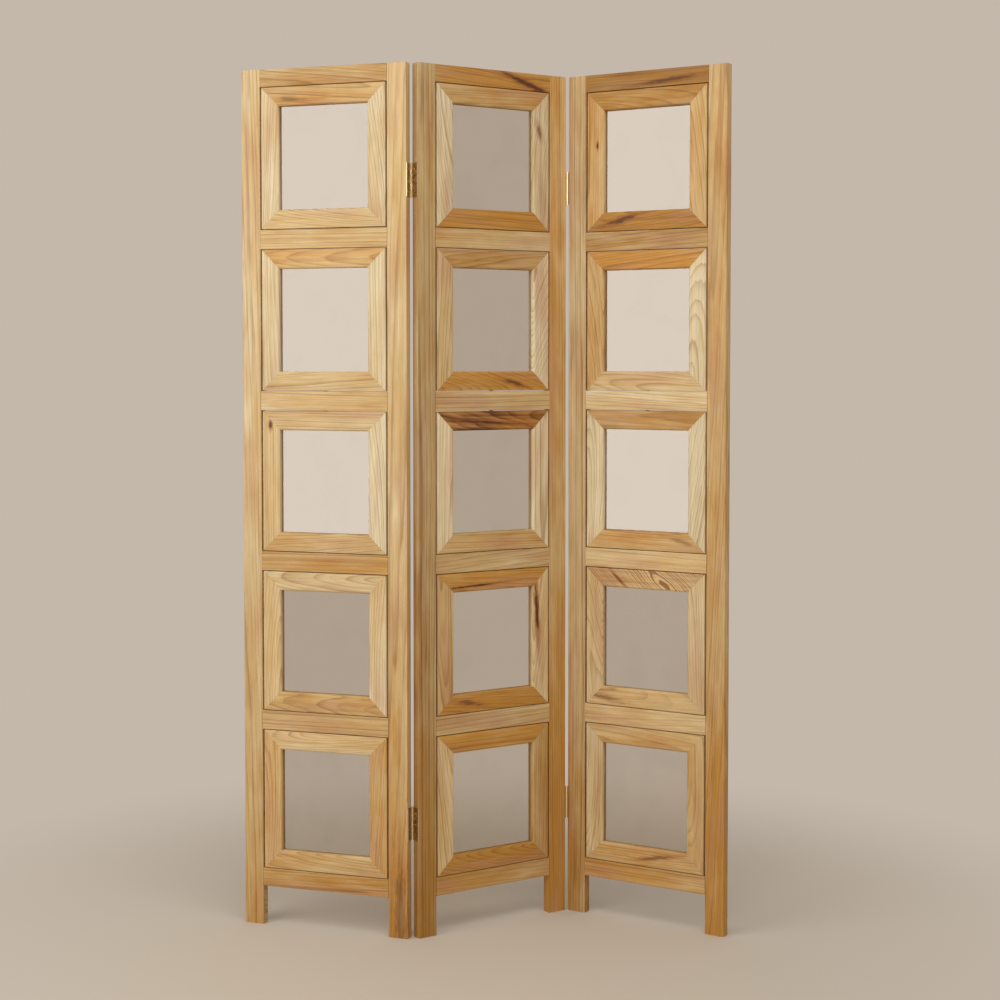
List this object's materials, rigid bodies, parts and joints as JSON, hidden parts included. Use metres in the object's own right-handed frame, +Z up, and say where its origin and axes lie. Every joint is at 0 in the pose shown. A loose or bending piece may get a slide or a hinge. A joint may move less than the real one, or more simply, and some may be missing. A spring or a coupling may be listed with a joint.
{
  "type": "room divider screen",
  "caption": "Folding wooden room divider screen: hinged panels on legs, with turning picture frames and clear panes.",
  "frame": {"origin": "on the floor, under the middle of the standing screen's bounding box", "axes": "+Z up, +X to the right along the screen as seen from its front, +Y towards its back"},
  "size_m": [0.9584, 0.2128, 1.7],
  "materials": {
    "left_panel_wood": "bare planed straw-coloured wood with straight grain",
    "middle_panel_wood": "bare planed tan wood with straight grain",
    "right_panel_wood": "bare planed oat-coloured wood with straight grain",
    "frame_wood": "bare planed golden wood, each bar with its own tone and grain",
    "clear_pane": "thin clear polished acrylic sheet",
    "brass": "thin stamped brass, slightly dulled"
  },
  "bodies": {
    "middle_panel": {"middle_panel_left_stile_and_top_rail": "middle_panel_wood", "middle_panel_right_stile": "middle_panel_wood", "middle_panel_middle_rail_1": "middle_panel_wood", "middle_panel_middle_rail_2": "middle_panel_wood", "middle_panel_middle_rail_3": "middle_panel_wood", "middle_panel_middle_rail_4": "middle_panel_wood", "middle_panel_bottom_rail": "middle_panel_wood", "left_fold_upper_hinge_leaf": "brass", "left_fold_lower_hinge_leaf": "brass", "right_fold_upper_hinge_leaf": "brass", "right_fold_lower_hinge_leaf": "brass"},
    "left_panel": {"left_panel_left_stile_and_top_rail": "left_panel_wood", "left_panel_right_stile": "left_panel_wood", "left_panel_middle_rail_1": "left_panel_wood", "left_panel_middle_rail_2": "left_panel_wood", "left_panel_middle_rail_3": "left_panel_wood", "left_panel_middle_rail_4": "left_panel_wood", "left_panel_bottom_rail": "left_panel_wood", "left_fold_upper_hinge_pin_leaf": "brass", "left_fold_lower_hinge_pin_leaf": "brass"},
    "right_panel": {"right_panel_left_stile_and_top_rail": "right_panel_wood", "right_panel_right_stile": "right_panel_wood", "right_panel_middle_rail_1": "right_panel_wood", "right_panel_middle_rail_2": "right_panel_wood", "right_panel_middle_rail_3": "right_panel_wood", "right_panel_middle_rail_4": "right_panel_wood", "right_panel_bottom_rail": "right_panel_wood", "right_fold_upper_hinge_pin_leaf": "brass", "right_fold_lower_hinge_pin_leaf": "brass"},
    "left_frame_1": {"left_panel_picture_frame_1": "frame_wood", "left_panel_pane_1": "clear_pane"},
    "left_frame_2": {"left_panel_picture_frame_2": "frame_wood", "left_panel_pane_2": "clear_pane"},
    "left_frame_3": {"left_panel_picture_frame_3": "frame_wood", "left_panel_pane_3": "clear_pane"},
    "left_frame_4": {"left_panel_picture_frame_4": "frame_wood", "left_panel_pane_4": "clear_pane"},
    "left_frame_5": {"left_panel_picture_frame_5": "frame_wood", "left_panel_pane_5": "clear_pane"},
    "middle_frame_1": {"middle_panel_picture_frame_1": "frame_wood", "middle_panel_pane_1": "clear_pane"},
    "middle_frame_2": {"middle_panel_picture_frame_2": "frame_wood", "middle_panel_pane_2": "clear_pane"},
    "middle_frame_3": {"middle_panel_picture_frame_3": "frame_wood", "middle_panel_pane_3": "clear_pane"},
    "middle_frame_4": {"middle_panel_picture_frame_4": "frame_wood", "middle_panel_pane_4": "clear_pane"},
    "middle_frame_5": {"middle_panel_picture_frame_5": "frame_wood", "middle_panel_pane_5": "clear_pane"},
    "right_frame_1": {"right_panel_picture_frame_1": "frame_wood", "right_panel_pane_1": "clear_pane"},
    "right_frame_2": {"right_panel_picture_frame_2": "frame_wood", "right_panel_pane_2": "clear_pane"},
    "right_frame_3": {"right_panel_picture_frame_3": "frame_wood", "right_panel_pane_3": "clear_pane"},
    "right_frame_4": {"right_panel_picture_frame_4": "frame_wood", "right_panel_pane_4": "clear_pane"},
    "right_frame_5": {"right_panel_picture_frame_5": "frame_wood", "right_panel_pane_5": "clear_pane"}
  },
  "joints": [
    {"name": "left_fold", "type": "hinge", "parent": "middle_panel", "child": "left_panel", "pos_m": [-0.13951, -0.08582, 0], "axis": [0, 0, -1], "range_deg": [-52.3, 127.7]},
    {"name": "right_fold", "type": "hinge", "parent": "middle_panel", "child": "right_panel", "pos_m": [0.16849, 0.08806, 0], "axis": [0, 0, -1], "range_deg": [-65.1, 114.9]},
    {"name": "left_frame_1_pivot", "type": "hinge", "parent": "left_panel", "child": "left_frame_1", "pos_m": [-0.31052, -0.0408, 1.526], "axis": [0, 0, 1], "continuous": true},
    {"name": "left_frame_2_pivot", "type": "hinge", "parent": "left_panel", "child": "left_frame_2", "pos_m": [-0.31052, -0.0408, 1.208], "axis": [0, 0, 1], "continuous": true},
    {"name": "left_frame_3_pivot", "type": "hinge", "parent": "left_panel", "child": "left_frame_3", "pos_m": [-0.31052, -0.0408, 0.89], "axis": [0, 0, 1], "continuous": true},
    {"name": "left_frame_4_pivot", "type": "hinge", "parent": "left_panel", "child": "left_frame_4", "pos_m": [-0.31052, -0.0408, 0.572], "axis": [0, 0, 1], "continuous": true},
    {"name": "left_frame_5_pivot", "type": "hinge", "parent": "left_panel", "child": "left_frame_5", "pos_m": [-0.31052, -0.0408, 0.254], "axis": [0, 0, 1], "continuous": true},
    {"name": "middle_frame_1_pivot", "type": "hinge", "parent": "middle_panel", "child": "middle_frame_1", "pos_m": [0.01449, 0.00112, 1.526], "axis": [0, 0, 1], "continuous": true},
    {"name": "middle_frame_2_pivot", "type": "hinge", "parent": "middle_panel", "child": "middle_frame_2", "pos_m": [0.01449, 0.00112, 1.208], "axis": [0, 0, 1], "continuous": true},
    {"name": "middle_frame_3_pivot", "type": "hinge", "parent": "middle_panel", "child": "middle_frame_3", "pos_m": [0.01449, 0.00112, 0.89], "axis": [0, 0, 1], "continuous": true},
    {"name": "middle_frame_4_pivot", "type": "hinge", "parent": "middle_panel", "child": "middle_frame_4", "pos_m": [0.01449, 0.00112, 0.572], "axis": [0, 0, 1], "continuous": true},
    {"name": "middle_frame_5_pivot", "type": "hinge", "parent": "middle_panel", "child": "middle_frame_5", "pos_m": [0.01449, 0.00112, 0.254], "axis": [0, 0, 1], "continuous": true},
    {"name": "right_frame_1_pivot", "type": "hinge", "parent": "right_panel", "child": "right_frame_1", "pos_m": [0.32528, 0.00627, 1.526], "axis": [0, 0, 1], "continuous": true},
    {"name": "right_frame_2_pivot", "type": "hinge", "parent": "right_panel", "child": "right_frame_2", "pos_m": [0.32528, 0.00627, 1.208], "axis": [0, 0, 1], "continuous": true},
    {"name": "right_frame_3_pivot", "type": "hinge", "parent": "right_panel", "child": "right_frame_3", "pos_m": [0.32528, 0.00627, 0.89], "axis": [0, 0, 1], "continuous": true},
    {"name": "right_frame_4_pivot", "type": "hinge", "parent": "right_panel", "child": "right_frame_4", "pos_m": [0.32528, 0.00627, 0.572], "axis": [0, 0, 1], "continuous": true},
    {"name": "right_frame_5_pivot", "type": "hinge", "parent": "right_panel", "child": "right_frame_5", "pos_m": [0.32528, 0.00627, 0.254], "axis": [0, 0, 1], "continuous": true}
  ]
}
